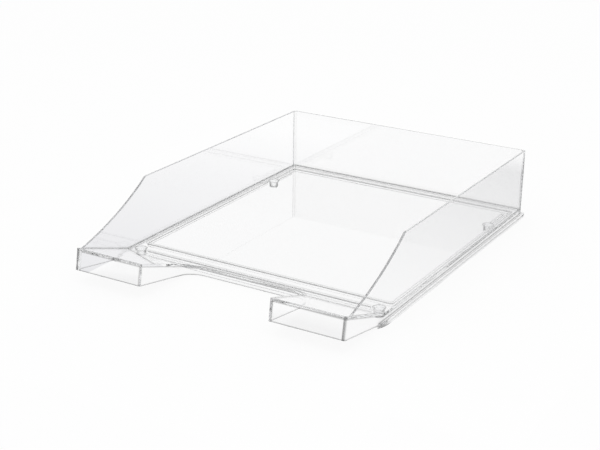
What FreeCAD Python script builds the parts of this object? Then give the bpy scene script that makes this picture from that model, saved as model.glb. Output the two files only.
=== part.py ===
import FreeCAD, Part
import math
import os

# Clear stackable letter tray: one moulding that stands on four round feet.
# Millimetres. X runs to the right of a person who faces the front, Y to the back, Z up.
# The origin is in the middle of the footprint, at table height.
# A distance is measured backwards from the front of the lips.

# Overall sizes
WIDTH = 255.0
DEPTH = 348.0
HEIGHT = 65.0

# Walls and floor
WALL = 2.0
FLOOR = 2.0
FLOOR_TOP = 8.0
OUTER_CORNER_RADIUS = 1.5
INNER_CORNER_RADIUS = 3.0
COVE_RADIUS = 0.8
RIM_ROUND = 0.7

# Sweep of the side walls from the rim down to the lips
SWEEP_START = 94.0
SWEEP_END = 8.0
SWEEP_SAG = 4.2
SWEEP_SHOULDER_RADIUS = 6.0

# Front lips
LIP_TOP = 29.0
LIP_BOTTOM = 11.0
LIP_LEAN = 3.0
LIP_EDGE_RADIUS = 0.9
RAMP_FOOT = 66.0

# Finger cut-out between the lips
GRIP_FRONT_WIDTH = 118.4
GRIP_BACK_WIDTH = 113.0
GRIP_CORNER_RADIUS = 14.0
GRIP_EDGE_RADIUS = 1.5

# Skirt that laps over the rim of a tray below
SKIRT_STEP = 3.3
SKIRT_WALL = 1.6
LEDGE_TOP = 3.6
STACK_SEAT = 1.8
SKIRT_END = 66.0
SKIRT_END_RADIUS = 31.0
SKIRT_CORNER_RADIUS = 4.0

# Frame rib under the floor, a rectangle with rounded corners
FRAME_RIB = 1.2
FRAME_RIB_DEPTH = 3.4
FRAME_SIDE_INSET = 4.0
FRAME_BACK_INSET = 8.0
FRAME_FRONT = 86.0
FRAME_CORNER_RADIUS = 3.0

# Feet, set into shallow seats under the floor
FOOT_STEM_DIAMETER = 8.6
FOOT_HEAD_DIAMETER = 10.6
FOOT_HEAD = 1.6
FOOT_SEAT_COVER = 1.0
FOOT_SEAT_CLEARANCE = 0.15
FOOT_EDGE_CHAMFER = 0.8
FOOT_SIDE_INSET = 9.0
FOOT_FRONT = 73.0
FOOT_BACK_INSET = 60.0

# Ribs under the floor
RIB = 1.6
RIB_TIP_BEVEL = 0.4
RIB_ROOT_ROUND = 1.0
RIB_FOOT_GAP = 2.0
STOP_RIB_LENGTH = 27.0
STOP_RIB_DEPTH = 3.0

# Places worked out from the sizes above
FRONT = -DEPTH / 2
BACK = DEPTH / 2
OUTER_X = WIDTH / 2 - SKIRT_STEP
INNER_X = OUTER_X - WALL
OUTER_BACK = BACK - SKIRT_STEP
INNER_BACK = OUTER_BACK - WALL
FLOOR_UNDER = FLOOR_TOP - FLOOR
FOOT_X = INNER_X - FOOT_SIDE_INSET
FOOT_SEAT_TOP = FLOOR_TOP - FOOT_SEAT_COVER
FOOT_REAR_Y = BACK - FOOT_BACK_INSET

# How far a cutting block reaches past what it cuts, and how close two equal places are
MARGIN = 5.0
SAME_PLACE = 0.01


def at(distance):
    return FRONT + distance


def vector(x, y, z=0.0):
    return FreeCAD.Vector(x, y, z)


def extruded(edges, direction):
    """Solid between the closed outline and its copy moved along the direction."""
    face = Part.Face(Part.Wire(Part.__sortEdges__(edges)))
    return face.extrude(direction)


def polygon_edges(points):
    ring = points + points[:1]
    return [Part.makeLine(start, end) for start, end in zip(ring, ring[1:])]


def across(points):
    """Solid with a straight-sided outline of (distance, height) points, right across the tray."""
    half = WIDTH / 2 + MARGIN
    corners = [vector(-half, at(distance), height) for distance, height in points]
    return extruded(polygon_edges(corners), vector(2 * half, 0))


def box(x_low, x_high, y_low, y_high, z_low, z_high):
    return Part.makeBox(x_high - x_low, y_high - y_low, z_high - z_low, vector(x_low, y_low, z_low))


def quarter_arc(x, y, radius, turn_x, turn_y):
    """Quarter circle about (x, y) in plan; the two turns, -1 or 1, say which quarter."""
    middle = radius * math.sqrt(0.5)
    return Part.Arc(vector(x + turn_x * radius, y),
                    vector(x + turn_x * middle, y + turn_y * middle),
                    vector(x, y + turn_y * radius)).toShape()


def u_plan(half_width, y_back, radius, z_low, z_high):
    """Block that reaches past the front and has two rounded corners at the back."""
    y_front = FRONT - MARGIN
    y_arc = y_back - radius
    edges = [Part.makeLine(vector(-half_width, y_front), vector(half_width, y_front)),
             Part.makeLine(vector(radius - half_width, y_back), vector(half_width - radius, y_back))]
    for side in (-1, 1):
        edges.append(Part.makeLine(vector(side * half_width, y_front), vector(side * half_width, y_arc)))
        edges.append(quarter_arc(side * (half_width - radius), y_arc, radius, side, 1))
    block = extruded(edges, vector(0, 0, z_high - z_low))
    block.translate(vector(0, 0, z_low))
    return block


def underside_height(distance):
    """Sloping underside of the lips."""
    return LIP_BOTTOM * (1 - distance / RAMP_FOOT)


def ramp_height(distance):
    """Top of the ramps that climb from the floor to the front edge of the lips."""
    return FLOOR_TOP + (LIP_TOP - FLOOR_TOP) * (RAMP_FOOT - distance) / (RAMP_FOOT - LIP_LEAN)


def wall_side_view():
    """Side view of the walls behind the lips: foot, concave sweep and level rim."""
    half = WIDTH / 2 + MARGIN
    low = ramp_height(SWEEP_END)
    run = SWEEP_START - SWEEP_END
    rise = HEIGHT - low
    chord = math.hypot(run, rise)
    sag_distance = (SWEEP_START + SWEEP_END) / 2 + SWEEP_SAG * rise / chord
    sag_height = (HEIGHT + low) / 2 - SWEEP_SAG * run / chord
    seat_front = RAMP_FOOT * (1 - STACK_SEAT / LIP_BOTTOM)
    outline = [
        (SWEEP_START, HEIGHT),
        (DEPTH, HEIGHT),
        (DEPTH, STACK_SEAT),
        (seat_front, STACK_SEAT),
        (SWEEP_END, underside_height(SWEEP_END)),
        (SWEEP_END, low),
    ]
    corners = [vector(-half, at(distance), height) for distance, height in outline]
    edges = [Part.makeLine(first, second) for first, second in zip(corners, corners[1:])]
    middle = vector(-half, at(sag_distance), sag_height)
    edges.append(Part.Arc(corners[-1], middle, corners[0]).toShape())
    return extruded(edges, vector(2 * half, 0))


def walls():
    """Side and back walls: an upright band, cut to the side view, with a rounded rim."""
    band = u_plan(OUTER_X, OUTER_BACK, OUTER_CORNER_RADIUS, 0, HEIGHT)
    band = band.cut(u_plan(INNER_X, INNER_BACK, INNER_CORNER_RADIUS, 0, HEIGHT))
    band = band.common(wall_side_view())
    shoulders = [edge for edge in band.Edges if lies_at(edge, at(SWEEP_START), HEIGHT)]
    band = band.makeFillet(SWEEP_SHOULDER_RADIUS, shoulders)
    return band.makeFillet(RIM_ROUND, rim_edges(band))


def lies_at(edge, y, z):
    """Whether an edge runs straight along X at that place in the side view."""
    bounds = edge.BoundBox
    off_y = abs(bounds.YMin - y) + abs(bounds.YMax - y)
    off_z = abs(bounds.ZMin - z) + abs(bounds.ZMax - z)
    return off_y + off_z < SAME_PLACE


def rim_edges(band):
    """Edges along the rim and the sweep, on both faces of the walls."""
    found = []
    for edge in band.Edges:
        bounds = edge.BoundBox
        crosses_wall = WALL / 2 < bounds.XLength < OUTER_X and bounds.YLength < SAME_PLACE
        if bounds.ZMin > ramp_height(SWEEP_END) - SAME_PLACE and not crosses_wall:
            found.append(edge)
    return found


def lip_section():
    """Everything between the tray's upper surface and the undersides, with a rounded front edge."""
    section = across([(0, LIP_BOTTOM), (LIP_LEAN, LIP_TOP), (RAMP_FOOT, FLOOR_TOP),
                      (DEPTH, FLOOR_TOP), (DEPTH, 0), (RAMP_FOOT, 0)])
    nose = [edge for edge in section.Edges if lies_at(edge, at(LIP_LEAN), LIP_TOP)]
    return section.makeFillet(LIP_EDGE_RADIUS, nose)


def leaning_block(half_width, inset, radius):
    """Block whose front leans back like the lips' front faces and has two rounded corners."""
    lean = LIP_LEAN / (LIP_TOP - LIP_BOTTOM)
    y_front = at(inset * math.hypot(1, lean) - lean * LIP_BOTTOM)
    y_arc = y_front + radius
    y_back = BACK + MARGIN
    edges = [Part.makeLine(vector(-half_width, y_back), vector(half_width, y_back)),
             Part.makeLine(vector(radius - half_width, y_front), vector(half_width - radius, y_front))]
    for side in (-1, 1):
        edges.append(Part.makeLine(vector(side * half_width, y_arc), vector(side * half_width, y_back)))
        edges.append(quarter_arc(side * (half_width - radius), y_arc, radius, side, -1))
    return extruded(edges, vector(0, lean * HEIGHT, HEIGHT))


def lip_fronts():
    """Front faces of the lips with their rounded corners, as far back as the walls start."""
    band = leaning_block(OUTER_X, 0, OUTER_CORNER_RADIUS)
    band = band.cut(leaning_block(INNER_X, WALL, INNER_CORNER_RADIUS))
    reach = SWEEP_END + WALL
    band = band.common(across([(-MARGIN, 0), (reach, 0), (reach, HEIGHT), (-MARGIN, HEIGHT)]))
    return band.common(lip_section())


def floor_and_ramps():
    """Floor and ramps: the upper part of the section, one floor thickness deep."""
    ramp_slope = (FLOOR_TOP - LIP_TOP) / (RAMP_FOOT - LIP_LEAN)
    ramp_drop = FLOOR * math.hypot(1, ramp_slope)
    bend = RAMP_FOOT + (ramp_drop - FLOOR) / ramp_slope
    below = across([(-MARGIN, ramp_height(-MARGIN) - ramp_drop), (bend, FLOOR_UNDER),
                    (DEPTH, FLOOR_UNDER), (DEPTH, -MARGIN), (-MARGIN, -MARGIN)])
    half_wall = WALL / 2
    strip = lip_section().cut(below)
    strip = strip.common(leaning_block(INNER_X + half_wall, half_wall, INNER_CORNER_RADIUS))
    return strip.common(u_plan(INNER_X + half_wall, INNER_BACK + half_wall, INNER_CORNER_RADIUS, 0, HEIGHT))


def grip_block(grow):
    """Finger cut-out in plan, grown by the thickness of the wall round it."""
    half_front = GRIP_FRONT_WIDTH / 2 + grow
    half_back = GRIP_BACK_WIDTH / 2 + grow
    flare = (half_front - half_back) / RAMP_FOOT
    y_front = FRONT - MARGIN
    half_mouth = half_front + flare * MARGIN
    y_back = at(RAMP_FOOT) + grow
    corners = [vector(-half_mouth, y_front), vector(half_mouth, y_front),
               vector(half_back, y_back), vector(-half_back, y_back)]
    block = extruded(polygon_edges(corners), vector(0, 0, HEIGHT))
    upright = [edge for edge in block.Edges
               if edge.BoundBox.ZLength > HEIGHT / 2 and edge.BoundBox.YMin > y_back - SAME_PLACE]
    return block.makeFillet(GRIP_CORNER_RADIUS + grow, upright)


def grip_wall():
    """Inner sides of the lips and the apron, as one band round the cut-out."""
    band = grip_block(WALL).cut(grip_block(0))
    return band.common(lip_section())


def skirt_block(inset, z_low, z_high):
    """Plan of the skirt: straight sides, rounded back corners and front ends that curve into the walls."""
    half = WIDTH / 2 - inset
    y_back = BACK - inset
    radius = SKIRT_CORNER_RADIUS - inset
    y_arc = y_back - radius
    end_radius = SKIRT_END_RADIUS - inset
    centre = half - end_radius
    y_end = at(SKIRT_END)

    def on_end(angle, side):
        return vector(side * (centre + end_radius * math.cos(angle)), y_end - end_radius * math.sin(angle))

    last = math.acos((INNER_X - centre) / end_radius)
    edges = [Part.makeLine(on_end(last, -1), on_end(last, 1)),
             Part.makeLine(vector(half - radius, y_back), vector(radius - half, y_back))]
    for side in (-1, 1):
        edges.append(Part.Arc(on_end(last, side), on_end(last / 2, side), on_end(0, side)).toShape())
        edges.append(Part.makeLine(on_end(0, side), vector(side * half, y_arc)))
        edges.append(quarter_arc(side * (half - radius), y_arc, radius, side, 1))
    block = extruded(edges, vector(0, 0, z_high - z_low))
    block.translate(vector(0, 0, z_low))
    return block


def skirt():
    """Ledge round the foot of the walls and the low skirt that hangs from it."""
    ledge = skirt_block(0, STACK_SEAT, LEDGE_TOP)
    ledge = ledge.cut(u_plan(INNER_X, INNER_BACK, INNER_CORNER_RADIUS, STACK_SEAT, LEDGE_TOP))
    hanging = skirt_block(0, 0, STACK_SEAT).cut(skirt_block(SKIRT_WALL, 0, STACK_SEAT))
    hanging = hanging.cut(u_plan(OUTER_X, OUTER_BACK, OUTER_CORNER_RADIUS, 0, STACK_SEAT))
    return ledge.fuse(hanging)


def rounded_rib(rib, plate):
    """Rib that hangs from a plate inside the floor, with a bevelled tip and a rounded root."""
    tip_height = rib.BoundBox.ZMin
    tip = [edge for edge in rib.Edges if edge.BoundBox.ZMax < tip_height + SAME_PLACE]
    joined = rib.makeChamfer(RIB_TIP_BEVEL, tip).fuse(plate).removeSplitter()
    root = []
    for edge in joined.Edges:
        bounds = edge.BoundBox
        level = abs(bounds.ZMin - FLOOR_UNDER) + abs(bounds.ZMax - FLOOR_UNDER) < SAME_PLACE
        at_plate_side = any(abs(bounds.Center.x - side) + bounds.XLength < SAME_PLACE
                            for side in (plate.BoundBox.XMin, plate.BoundBox.XMax))
        at_plate_end = any(abs(bounds.Center.y - end) + bounds.YLength < SAME_PLACE
                           for end in (plate.BoundBox.YMin, plate.BoundBox.YMax))
        if level and not at_plate_side and not at_plate_end:
            root.append(edge)
    return joined.makeFillet(RIB_ROOT_ROUND, root)


def straight_rib(x_low, x_high, y_low, y_high, depth):
    grow = RIB_ROOT_ROUND + RIB_TIP_BEVEL
    rib = box(x_low, x_high, y_low, y_high, FLOOR_UNDER - depth, FLOOR_UNDER)
    plate = box(x_low - grow, x_high + grow, y_low - grow, y_high + grow,
                FLOOR_UNDER, FLOOR_UNDER + FLOOR / 2)
    return rounded_rib(rib, plate)


def ribs():
    """Cross rib between the front feet, and a stop rib behind each rear foot."""
    cross_half = FOOT_X - FOOT_HEAD_DIAMETER / 2 - RIB_FOOT_GAP
    y_cross = at(FOOT_FRONT)
    found = [straight_rib(-cross_half, cross_half, y_cross - RIB / 2, y_cross + RIB / 2, FLOOR_UNDER)]
    start = FOOT_REAR_Y + FOOT_HEAD_DIAMETER / 2 + RIB_FOOT_GAP
    for side in (-1, 1):
        middle = side * FOOT_X
        found.append(straight_rib(middle - RIB / 2, middle + RIB / 2, start, start + STOP_RIB_LENGTH,
                                  STOP_RIB_DEPTH))
    return found


def frame_block(inset, z_low, z_high):
    """Block with the frame rib's outline, moved in by the inset."""
    half = INNER_X - FRAME_SIDE_INSET - inset
    block = box(-half, half, at(FRAME_FRONT) + inset, INNER_BACK - FRAME_BACK_INSET - inset, z_low, z_high)
    upright = [edge for edge in block.Edges if edge.BoundBox.ZLength > SAME_PLACE]
    return block.makeFillet(FRAME_CORNER_RADIUS - inset, upright)


def frame_rib():
    """Rib in the shape of a frame under the floor."""
    grow = RIB_ROOT_ROUND + RIB_TIP_BEVEL
    tip_height = FLOOR_UNDER - FRAME_RIB_DEPTH
    rib = frame_block(0, tip_height, FLOOR_UNDER).cut(frame_block(FRAME_RIB, tip_height, FLOOR_UNDER))
    bounds = rib.BoundBox
    plate = box(bounds.XMin - grow, bounds.XMax + grow, bounds.YMin - grow, bounds.YMax + grow,
                FLOOR_UNDER, FLOOR_UNDER + FLOOR / 2)
    return rounded_rib(rib, plate)


def foot_places():
    return {
        "foot_front_left": (-FOOT_X, at(FOOT_FRONT)),
        "foot_front_right": (FOOT_X, at(FOOT_FRONT)),
        "foot_rear_left": (-FOOT_X, FOOT_REAR_Y),
        "foot_rear_right": (FOOT_X, FOOT_REAR_Y),
    }


def foot(x, y):
    """Round foot: a head that sits in the floor's seat, and a narrower stem down to the table."""
    head_low = FOOT_SEAT_TOP - FOOT_HEAD
    stem = Part.makeCylinder(FOOT_STEM_DIAMETER / 2, head_low, vector(x, y))
    bottom = [edge for edge in stem.Edges if edge.BoundBox.ZMax < SAME_PLACE]
    stem = stem.makeChamfer(FOOT_EDGE_CHAMFER, bottom)
    head = Part.makeCylinder(FOOT_HEAD_DIAMETER / 2, FOOT_HEAD, vector(x, y, head_low))
    return stem.fuse(head).removeSplitter()


def foot_seats():
    radius = FOOT_HEAD_DIAMETER / 2 + FOOT_SEAT_CLEARANCE
    return [Part.makeCylinder(radius, FOOT_SEAT_TOP, vector(x, y)) for x, y in foot_places().values()]


def mouth_rounding(side):
    """Cutter that rounds the edge where a lip's front face turns into the side of the cut-out."""
    flare = (GRIP_FRONT_WIDTH - GRIP_BACK_WIDTH) / 2 / RAMP_FOOT
    along_front = vector(side, 0)
    along_side = vector(-side * flare, 1).normalize()
    half_angle = along_front.getAngle(along_side) / 2
    inwards = (along_front + along_side).normalize()
    touch = GRIP_EDGE_RADIUS / math.tan(half_angle)
    depth = GRIP_EDGE_RADIUS / math.sin(half_angle) - GRIP_EDGE_RADIUS
    rise = vector(-side * flare * LIP_LEAN, LIP_LEAN, LIP_TOP - LIP_BOTTOM)
    corner = vector(side * GRIP_FRONT_WIDTH / 2, FRONT, LIP_BOTTOM) - rise
    on_front = corner + along_front * touch
    on_side = corner + along_side * touch
    outside = corner - inwards * GRIP_EDGE_RADIUS
    edges = [Part.makeLine(outside, on_front),
             Part.Arc(on_front, corner + inwards * depth, on_side).toShape(),
             Part.makeLine(on_side, outside)]
    return extruded(edges, rise * 3)


def cove_edges(shape):
    """Edges where the inner faces of the walls rise from the floor and the ramps."""
    found = []
    for edge in shape.Edges:
        ends = [vertex.Point for vertex in edge.Vertexes]
        on_wall = [min(abs(abs(end.x) - INNER_X), abs(end.y - INNER_BACK)) < SAME_PLACE for end in ends]
        on_top = [abs(end.z - max(FLOOR_TOP, ramp_height(end.y - FRONT))) < SAME_PLACE for end in ends]
        if all(on_wall) and all(on_top):
            found.append(edge)
    return found


def tray_body():
    fronts = floor_and_ramps().fuse(lip_fronts()).cut(grip_block(0))
    tray = walls().fuse([fronts, grip_wall(), skirt(), frame_rib()] + ribs())
    tray = tray.removeSplitter()
    tray = tray.makeFillet(COVE_RADIUS, cove_edges(tray))
    return tray.cut([mouth_rounding(-1), mouth_rounding(1)] + foot_seats())


def main():
    os.makedirs("parts", exist_ok=True)
    tray = tray_body()
    tray.exportStep("parts/tray_body.step")
    for name, (x, y) in foot_places().items():
        foot(x, y).exportStep("parts/" + name + ".step")


main()
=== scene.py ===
import math

import bmesh
import bpy
from mathutils import Matrix, Vector


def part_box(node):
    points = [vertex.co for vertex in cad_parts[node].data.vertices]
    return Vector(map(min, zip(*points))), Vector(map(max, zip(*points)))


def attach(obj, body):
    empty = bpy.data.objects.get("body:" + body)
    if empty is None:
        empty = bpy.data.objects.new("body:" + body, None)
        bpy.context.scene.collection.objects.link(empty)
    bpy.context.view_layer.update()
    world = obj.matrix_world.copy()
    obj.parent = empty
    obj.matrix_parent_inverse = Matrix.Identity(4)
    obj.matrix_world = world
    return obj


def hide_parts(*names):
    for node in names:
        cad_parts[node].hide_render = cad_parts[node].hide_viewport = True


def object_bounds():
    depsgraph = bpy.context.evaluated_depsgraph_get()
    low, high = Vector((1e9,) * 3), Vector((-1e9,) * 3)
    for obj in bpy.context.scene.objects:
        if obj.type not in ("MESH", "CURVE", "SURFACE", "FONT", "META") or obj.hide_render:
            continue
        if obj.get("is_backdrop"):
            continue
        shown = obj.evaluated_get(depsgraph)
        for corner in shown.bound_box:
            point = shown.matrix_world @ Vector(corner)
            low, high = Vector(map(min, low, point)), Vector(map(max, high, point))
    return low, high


# Clear letter tray on a white studio floor.
# Metres, in the part's own frame: X right, Y to the back, Z up.

# Camera, for a picture of 600 by 450
PICTURE_WIDTH = 600
FOCAL_PIXELS = 1265
SENSOR_WIDTH = 36.0
CAMERA_PLACE = (0.508, -0.898, 0.407)
CAMERA_AZIMUTH = 30.26
CAMERA_ELEVATION = 20.58
CAMERA_ROLL = 0.92

# Floor
FLOOR_HALF = 6.0
FLOOR_DROP = 0.0002
FLOOR_COLOUR = (0.92, 0.92, 0.92, 1)
FLOOR_ROUGHNESS = 0.8
FLOOR_WHITE_SHARE = 0.93

# Sky: bright low down and dark above, as in a photo studio.
# Behind the tray it is brighter, and bright higher up. Heights and depths are parts of a direction.
SKY_LOW = 0.25
SKY_HIGH = 0.4
SKY_FRONT = 0.35
SKY_BACK = 0.75
SKY_RISE = 0.15
SKY_BRIGHT_FRONT = 0.5
SKY_BRIGHT_BACK = 1.0
SKY_DARK = (0.04, 0.04, 0.04, 1)
SKY_LIGHT = (0.85, 0.85, 0.85, 1)

# Grey cards beside and in front of the tray, which fade out to white: glowing strips that show only in the
# plastic, as painted reflections and painted shade seen through it
CARD_REACH = 0.09
CARD_FADE = 0.06
CARD_BACK = 0.12
CARD_GAP = 0.001
CARD_RISE = 0.0001
CARD_DARK = (0.5, 0.5, 0.51, 1)
CARD_PALE = (0.8, 0.8, 0.82, 1)
CARD_WHITE = (1.0, 1.0, 1.0, 1)
CARD_PAINT = "grey"

# Lamp, and how often light may turn inside the plastic
SOFTBOX_SIZE = 1.4
SOFTBOX_HEIGHT = 1.6
SOFTBOX_POWER = 4.0
LIGHT_BOUNCES = 600

# Clear plastic
PLASTIC_IOR = 1.59
TRAY_TINTS = ((0.992, 0.993, 0.996, 1), (0.998, 0.998, 0.999, 1))
FOOT_TINTS = ((0.94, 0.945, 0.95, 1), (0.97, 0.975, 0.98, 1))
HAZE_COLOUR = (0.6, 0.62, 0.65, 1)
HAZE_DENSITY = 0.4
FLOW_SCALE = 14.0
FLOW_HEIGHT = 0.00001

# Painted shade along the tray's inner corners, below the height where it fades out
CORNER_REACH = 0.0013
CORNER_SAMPLES = 8
CORNER_CLOSED = 0.6
CORNER_SHADE = 0.2
CORNER_FADE_START = 0.03
CORNER_FADE_END = 0.036

# Painted shade in grey lines along the lips' edges, which look dark on the real tray.
# The lower edge slopes up to the front, and the outer upright edges lean back.
LIP_FRONT = -0.174
LIP_BOTTOM = 0.011
LIP_LENGTH = 0.066
LIP_HEIGHT = 0.018
LIP_TOP_SETBACK = 0.003
LOWER_EDGE_SLOPE = LIP_BOTTOM / LIP_LENGTH
LOWER_EDGE_SHADE = 0.4
OUTER_EDGE_START = 0.1215
OUTER_EDGE_LEAN = LIP_TOP_SETBACK / LIP_HEIGHT
OUTER_EDGE_SHADE = 0.15
EDGE_WIDTH = 0.001

# Painted shade in a grey line along the ribs under the floor: the middle and the half sizes of their area,
# and the line's height
RIBS_HALF_WIDTH = 0.12
RIBS_MIDDLE = 0.028
RIBS_HALF_LENGTH = 0.135
RIBS_LINE_HEIGHT = 0.0049
RIBS_LINE_HALF = 0.0004
RIBS_SHADE = 0.2

# Painted shade on the sides of the turned feet, and the slope from which a face counts as a flat end
SIDE_START = 0.05
SIDE_END = 0.3
SIDE_SHADE = 0.0
END_START = 0.4
END_FULL = 0.8

# Turned feet
FOOT_SIDES = 64
FOOT_STEM_SHARE = 0.81
FOOT_HEAD = 0.0016
FOOT_TOP_GAP = 0.0001
FOOT_BEVEL = 0.0003
FOOT_EDGE = 0.0008
FOOT_SAME_PLACE = 0.00001
FOOT_SHARP_ANGLE = 25


def new_material(name):
    material = bpy.data.materials.new(name)
    material.use_nodes = True
    return material, material.node_tree.nodes, material.node_tree.links


def ramp(value, start, end, nodes, links, first=0.0, last=1.0):
    """Runs from the first number to the last while the value runs from start to end."""
    node = nodes.new("ShaderNodeMapRange")
    node.inputs["From Min"].default_value = start
    node.inputs["From Max"].default_value = end
    node.inputs["To Min"].default_value = first
    node.inputs["To Max"].default_value = last
    links.new(value, node.inputs["Value"])
    return node


def parts_of(vector, nodes, links):
    split = nodes.new("ShaderNodeSeparateXYZ")
    links.new(vector, split.inputs[0])
    return split.outputs


def calculate(operation, first, second, nodes, links):
    node = nodes.new("ShaderNodeMath")
    node.operation = operation
    links.new(first, node.inputs[0])
    links.new(second, node.inputs[1])
    return node.outputs[0]


def along(place, direction, nodes, links):
    """How far a place lies along a direction."""
    node = nodes.new("ShaderNodeVectorMath")
    node.operation = "DOT_PRODUCT"
    node.inputs[1].default_value = direction
    links.new(place, node.inputs[0])
    return node.outputs["Value"]


def within(value, middle, reach, nodes, links):
    """One where the value is within reach of the middle, and else zero."""
    node = nodes.new("ShaderNodeMath")
    node.operation = "COMPARE"
    links.new(value, node.inputs[0])
    node.inputs[1].default_value = middle
    node.inputs[2].default_value = reach
    return node.outputs[0]


def corner_shade(place, nodes, links):
    """White, and painted shade along the low inner corners, where clear plastic looks dark, seen from either
    side.
    """
    both = nodes.new("ShaderNodeMix")
    for side, inside in (("A", False), ("B", True)):
        near = nodes.new("ShaderNodeAmbientOcclusion")
        near.samples = CORNER_SAMPLES
        near.only_local = True
        near.inside = inside
        near.inputs["Distance"].default_value = CORNER_REACH
        links.new(near.outputs["AO"], both.inputs[side])
    geometry = nodes.new("ShaderNodeNewGeometry")
    links.new(geometry.outputs["Backfacing"], both.inputs["Factor"])
    height = parts_of(place, nodes, links)["Z"]
    darkest = ramp(height, CORNER_FADE_START, CORNER_FADE_END, nodes, links, first=CORNER_SHADE)
    shade = ramp(both.outputs["Result"], CORNER_CLOSED, 1.0, nodes, links)
    links.new(darkest.outputs["Result"], shade.inputs["To Min"])
    return shade.outputs["Result"]


def lower_edge_shade(place, nodes, links):
    """White, and painted shade along the lips' lower edge."""
    above = along(place, (0, LOWER_EDGE_SLOPE, 1), nodes, links)
    edge = LIP_BOTTOM + LOWER_EDGE_SLOPE * LIP_FRONT
    return ramp(above, edge, edge + EDGE_WIDTH, nodes, links, first=LOWER_EDGE_SHADE).outputs["Result"]


def outer_edge_shade(place, nodes, links):
    """White, and painted shade along the lips' outer upright edges."""
    behind = along(place, (0, 1, -OUTER_EDGE_LEAN), nodes, links)
    edge = LIP_FRONT - OUTER_EDGE_LEAN * LIP_BOTTOM
    line = ramp(behind, edge, edge + EDGE_WIDTH, nodes, links, first=OUTER_EDGE_SHADE)
    between = within(parts_of(place, nodes, links)["X"], 0, OUTER_EDGE_START, nodes, links)
    return calculate("MAXIMUM", between, line.outputs["Result"], nodes, links)


def rib_shade(place, nodes, links):
    """White, and painted shade in a thin grey line along the ribs under the floor, close to their roots."""
    spot = parts_of(place, nodes, links)
    in_width = within(spot["X"], 0, RIBS_HALF_WIDTH, nodes, links)
    in_length = within(spot["Y"], RIBS_MIDDLE, RIBS_HALF_LENGTH, nodes, links)
    in_line = within(spot["Z"], RIBS_LINE_HEIGHT, RIBS_LINE_HALF, nodes, links)
    in_area = calculate("MULTIPLY", in_width, in_length, nodes, links)
    on_rib = calculate("MULTIPLY", in_area, in_line, nodes, links)
    return ramp(on_rib, 0.0, 1.0, nodes, links, first=1.0, last=RIBS_SHADE).outputs["Result"]


def tray_shade(place, nodes, links):
    """All the tray's painted shade together."""
    together = corner_shade(place, nodes, links)
    for shade in (lower_edge_shade, outer_edge_shade, rib_shade):
        together = calculate("MULTIPLY", together, shade(place, nodes, links), nodes, links)
    return together


def foot_shade(place, nodes, links):
    """White, and painted shade where a turned side curves away, as a clear rod looks; flat ends stay white.

    It is the same at every place, which it takes only because tray_shade does.
    """
    weight = nodes.new("ShaderNodeLayerWeight")
    side = ramp(weight.outputs["Facing"], SIDE_START, SIDE_END, nodes, links, first=1.0, last=SIDE_SHADE)
    geometry = nodes.new("ShaderNodeNewGeometry")
    upright = nodes.new("ShaderNodeMath")
    upright.operation = "ABSOLUTE"
    links.new(parts_of(geometry.outputs["True Normal"], nodes, links)["Z"], upright.inputs[0])
    end = ramp(upright.outputs[0], END_START, END_FULL, nodes, links)
    both = nodes.new("ShaderNodeMix")
    both.inputs["B"].default_value = 1.0
    links.new(end.outputs["Result"], both.inputs["Factor"])
    links.new(side.outputs["Result"], both.inputs["A"])
    return both.outputs["Result"]


def clear_plastic(name, tints, shade):
    """Polished clear plastic with faint flow marks, painted shade along edges and corners, and grey where the
    light's way is long.
    """
    material, nodes, links = new_material(name)
    shader = nodes["Principled BSDF"]
    shader.inputs["IOR"].default_value = PLASTIC_IOR
    shader.inputs["Transmission Weight"].default_value = 1.0
    shader.inputs["Roughness"].default_value = 0.0
    place = nodes.new("ShaderNodeTexCoord").outputs["Object"]
    flow = nodes.new("ShaderNodeTexNoise")
    flow.inputs["Scale"].default_value = FLOW_SCALE
    links.new(place, flow.inputs["Vector"])
    tint = nodes.new("ShaderNodeMix")
    tint.data_type = "RGBA"
    tint.inputs["A"].default_value, tint.inputs["B"].default_value = tints
    links.new(flow.outputs["Fac"], tint.inputs["Factor"])
    # The base colour is multiplied by the painted shade.
    shaded = nodes.new("ShaderNodeMix")
    shaded.data_type = "RGBA"
    shaded.blend_type = "MULTIPLY"
    shaded.inputs["Factor"].default_value = 1.0
    links.new(tint.outputs["Result"], shaded.inputs["A"])
    links.new(shade(place, nodes, links), shaded.inputs["B"])
    links.new(shaded.outputs["Result"], shader.inputs["Base Color"])
    waves = nodes.new("ShaderNodeBump")
    waves.inputs["Distance"].default_value = FLOW_HEIGHT
    links.new(flow.outputs["Fac"], waves.inputs["Height"])
    links.new(waves.outputs["Normal"], shader.inputs["Normal"])
    haze = nodes.new("ShaderNodeVolumeAbsorption")
    haze.inputs["Color"].default_value = HAZE_COLOUR
    haze.inputs["Density"].default_value = HAZE_DENSITY
    links.new(haze.outputs["Volume"], nodes["Material Output"].inputs["Volume"])
    return material


def dress(node, material):
    node.data.materials.clear()
    node.data.materials.append(material)


def foot_outline(low, high):
    """Half outline of a foot, from its top to its bottom, as (radius, height) pairs."""
    head = (high[0] - low[0]) / 2
    stem = head * FOOT_STEM_SHARE
    top = high[2] - FOOT_TOP_GAP
    under = high[2] - FOOT_HEAD
    return [
        (0, top),
        (head - FOOT_BEVEL, top),
        (head, top - FOOT_BEVEL),
        (head, under + FOOT_BEVEL),
        (head - FOOT_BEVEL, under),
        (stem + FOOT_BEVEL, under),
        (stem, under - FOOT_BEVEL),
        (stem, low[2] + FOOT_EDGE),
        (stem - FOOT_EDGE, low[2]),
        (0, low[2]),
    ]


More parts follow.
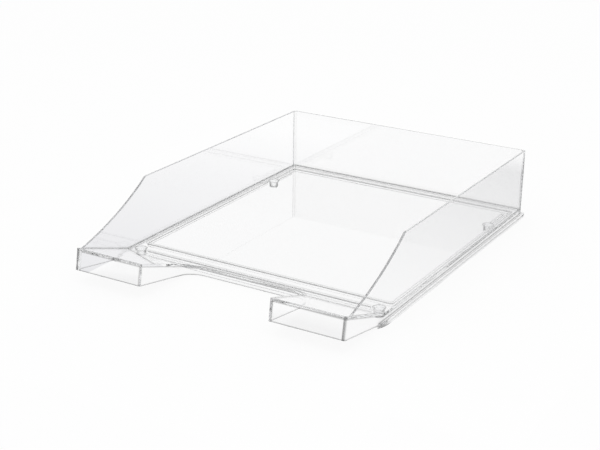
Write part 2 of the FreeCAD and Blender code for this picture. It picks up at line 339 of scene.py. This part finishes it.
def make_foot(node, material):
    """Turned foot in the place of the solid: its outline spun round the middle of the node's box."""
    low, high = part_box(node)
    centre = Vector(((low[0] + high[0]) / 2, (low[1] + high[1]) / 2, 0))
    shape = bmesh.new()
    outline = []
    for radius, height in foot_outline(low, high):
        outline.append(shape.verts.new(centre + Vector((radius, 0, height))))
    edges = [shape.edges.new(pair) for pair in zip(outline, outline[1:])]
    bmesh.ops.spin(shape, geom=outline + edges, cent=centre, axis=(0, 0, 1),
                   angle=2 * math.pi, steps=FOOT_SIDES, use_merge=True)
    bmesh.ops.remove_doubles(shape, verts=shape.verts, dist=FOOT_SAME_PLACE)
    bmesh.ops.recalc_face_normals(shape, faces=shape.faces)
    mesh = bpy.data.meshes.new(node + "_turned")
    shape.to_mesh(mesh)
    shape.free()
    mesh.shade_smooth()
    mesh.set_sharp_from_angle(angle=math.radians(FOOT_SHARP_ANGLE))
    mesh.materials.append(material)
    foot = bpy.data.objects.new(node + "_turned", mesh)
    bpy.context.scene.collection.objects.link(foot)
    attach(foot, "root")
    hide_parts(node)


def seen_directly(nodes, links):
    """One for rays from the camera, also by way of a reflection or through the plastic, and else zero."""
    path = nodes.new("ShaderNodeLightPath")
    seen = path.outputs["Is Camera Ray"]
    for kind in ("Is Glossy Ray", "Is Transmission Ray"):
        seen = calculate("MAXIMUM", seen, path.outputs[kind], nodes, links)
    return seen


def flat_sheet(name, rows, height, material):
    """Level sheet through rows of (x, y) points, as part of the studio."""
    mesh = bpy.data.meshes.new(name)
    points = [(x, y, height) for row in rows for x, y in row]
    per_row = len(rows[0])
    faces = []
    for row in range(len(rows) - 1):
        for step in range(per_row - 1):
            first = row * per_row + step
            faces.append((first, first + 1, first + per_row + 1, first + per_row))
    mesh.from_pydata(points, [], faces)
    mesh.materials.append(material)
    sheet = bpy.data.objects.new(name, mesh)
    bpy.context.scene.collection.objects.link(sheet)
    sheet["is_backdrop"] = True
    return sheet


def floor_white():
    """White floor: mostly plain white to the camera, with the tray's shadow in the rest."""
    material, nodes, links = new_material("studio_floor")
    shader = nodes["Principled BSDF"]
    shader.inputs["Base Color"].default_value = FLOOR_COLOUR
    shader.inputs["Roughness"].default_value = FLOOR_ROUGHNESS
    white = nodes.new("ShaderNodeEmission")
    share = ramp(seen_directly(nodes, links), 0.0, 1.0, nodes, links, last=FLOOR_WHITE_SHARE)
    mix = nodes.new("ShaderNodeMixShader")
    links.new(share.outputs["Result"], mix.inputs["Fac"])
    links.new(shader.outputs[0], mix.inputs[1])
    links.new(white.outputs[0], mix.inputs[2])
    links.new(mix.outputs[0], nodes["Material Output"].inputs["Surface"])
    return material


def make_floor():
    half = FLOOR_HALF
    rows = [[(-half, -half), (half, -half)], [(-half, half), (half, half)]]
    flat_sheet("studio_floor", rows, -FLOOR_DROP, floor_white())


def card_grey(name):
    """Glow in the greys that are painted on a card's points."""
    material, nodes, links = new_material(name)
    paint = nodes.new("ShaderNodeVertexColor")
    paint.layer_name = CARD_PAINT
    glow = nodes.new("ShaderNodeEmission")
    links.new(paint.outputs["Color"], glow.inputs["Color"])
    links.new(glow.outputs[0], nodes["Material Output"].inputs["Surface"])
    return material


def make_card(name, start, end, outwards, greys):
    """Strip on the floor from start to end, which shows in the clear plastic but not to the camera itself."""
    start, end, outwards = Vector(start), Vector(end), Vector(outwards)
    fade = (end - start).normalized() * CARD_FADE
    places = [start - fade, start, end, end + fade]
    paints = [CARD_WHITE, greys[0], greys[1], CARD_WHITE]
    rows = []
    colours = []
    for distance in (0, CARD_REACH, CARD_REACH + CARD_FADE):
        rows.append([place + outwards * distance for place in places])
        colours.extend(paints if distance <= CARD_REACH else [CARD_WHITE] * len(paints))
    card = flat_sheet(name, rows, CARD_RISE - FLOOR_DROP, card_grey(name))
    layer = card.data.color_attributes.new(CARD_PAINT, "FLOAT_COLOR", "POINT")
    for point, colour in zip(layer.data, colours):
        point.color = colour
    card.visible_camera = False
    card.visible_diffuse = False
    card.visible_shadow = False


def make_cards():
    low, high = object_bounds()
    left = low[0] - CARD_GAP
    right = high[0] + CARD_GAP
    front = low[1] - CARD_GAP
    back = high[1] + CARD_BACK
    # Glowing strips, hidden from the camera, that paint darker reflections and see-through shade into the
    # plastic.
    make_card("card_right", (right, front), (right, back), (1, 0), (CARD_WHITE, CARD_DARK))
    make_card("card_left", (left, front), (left, back), (-1, 0), (CARD_PALE, CARD_WHITE))
    make_card("card_front", (left, front), (right, front), (0, -1), (CARD_DARK, CARD_DARK))


def make_sky():
    world = bpy.data.worlds.new("studio_sky")
    world.use_nodes = True
    bpy.context.scene.world = world
    nodes, links = world.node_tree.nodes, world.node_tree.links
    place = parts_of(nodes.new("ShaderNodeTexCoord").outputs["Generated"], nodes, links)
    rise = ramp(place["Y"], SKY_FRONT, SKY_BACK, nodes, links, last=SKY_RISE)
    light = ramp(place["Y"], SKY_FRONT, SKY_BACK, nodes, links, first=SKY_BRIGHT_FRONT, last=SKY_BRIGHT_BACK)
    height = calculate("SUBTRACT", place["Z"], rise.outputs["Result"], nodes, links)
    bright = ramp(height, SKY_HIGH, SKY_LOW, nodes, links)
    seen = nodes.new("ShaderNodeMix")
    seen.data_type = "RGBA"
    seen.inputs["A"].default_value = SKY_DARK
    links.new(light.outputs["Result"], seen.inputs["B"])
    links.new(bright.outputs["Result"], seen.inputs["Factor"])
    colour = nodes.new("ShaderNodeMix")
    colour.data_type = "RGBA"
    colour.inputs["A"].default_value = SKY_LIGHT
    links.new(seen.outputs["Result"], colour.inputs["B"])
    links.new(seen_directly(nodes, links), colour.inputs["Factor"])
    links.new(colour.outputs["Result"], nodes["Background"].inputs["Color"])


def make_softbox():
    lamp = bpy.data.lights.new("softbox", "AREA")
    lamp.size = SOFTBOX_SIZE
    lamp.energy = SOFTBOX_POWER
    softbox = bpy.data.objects.new("softbox", lamp)
    softbox.location = (0, 0, SOFTBOX_HEIGHT)
    softbox.visible_transmission = False
    softbox.visible_glossy = False
    bpy.context.scene.collection.objects.link(softbox)


def make_camera():
    lens = bpy.data.cameras.new("camera")
    lens.sensor_width = SENSOR_WIDTH
    lens.lens = FOCAL_PIXELS / PICTURE_WIDTH * SENSOR_WIDTH
    camera = bpy.data.objects.new("camera", lens)
    turn = Matrix.Rotation(math.radians(CAMERA_AZIMUTH), 4, "Z")
    tilt = Matrix.Rotation(math.radians(90 - CAMERA_ELEVATION), 4, "X")
    roll = Matrix.Rotation(math.radians(CAMERA_ROLL), 4, "Z")
    camera.matrix_world = Matrix.Translation(Vector(CAMERA_PLACE)) @ turn @ tilt @ roll
    bpy.context.scene.collection.objects.link(camera)
    bpy.context.scene.camera = camera


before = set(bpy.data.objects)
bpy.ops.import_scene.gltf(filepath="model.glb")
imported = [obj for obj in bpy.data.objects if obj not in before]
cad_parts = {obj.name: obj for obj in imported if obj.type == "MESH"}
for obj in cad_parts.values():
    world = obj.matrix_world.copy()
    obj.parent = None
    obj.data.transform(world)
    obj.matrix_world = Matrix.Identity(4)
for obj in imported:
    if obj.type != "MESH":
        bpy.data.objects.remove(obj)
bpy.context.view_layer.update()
scene = bpy.context.scene
scene.view_settings.view_transform = "Standard"
scene.cycles.max_bounces = LIGHT_BOUNCES
scene.cycles.transmission_bounces = LIGHT_BOUNCES
scene.cycles.glossy_bounces = LIGHT_BOUNCES

tray_plastic = clear_plastic("clear_tray_plastic", TRAY_TINTS, tray_shade)
foot_plastic = clear_plastic("clear_foot_plastic", FOOT_TINTS, foot_shade)
for name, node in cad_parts.items():
    if name == "tray_body":
        dress(node, tray_plastic)
    else:
        dress(node, foot_plastic)
        make_foot(name, foot_plastic)

make_floor()
make_cards()
make_sky()
make_softbox()
make_camera()
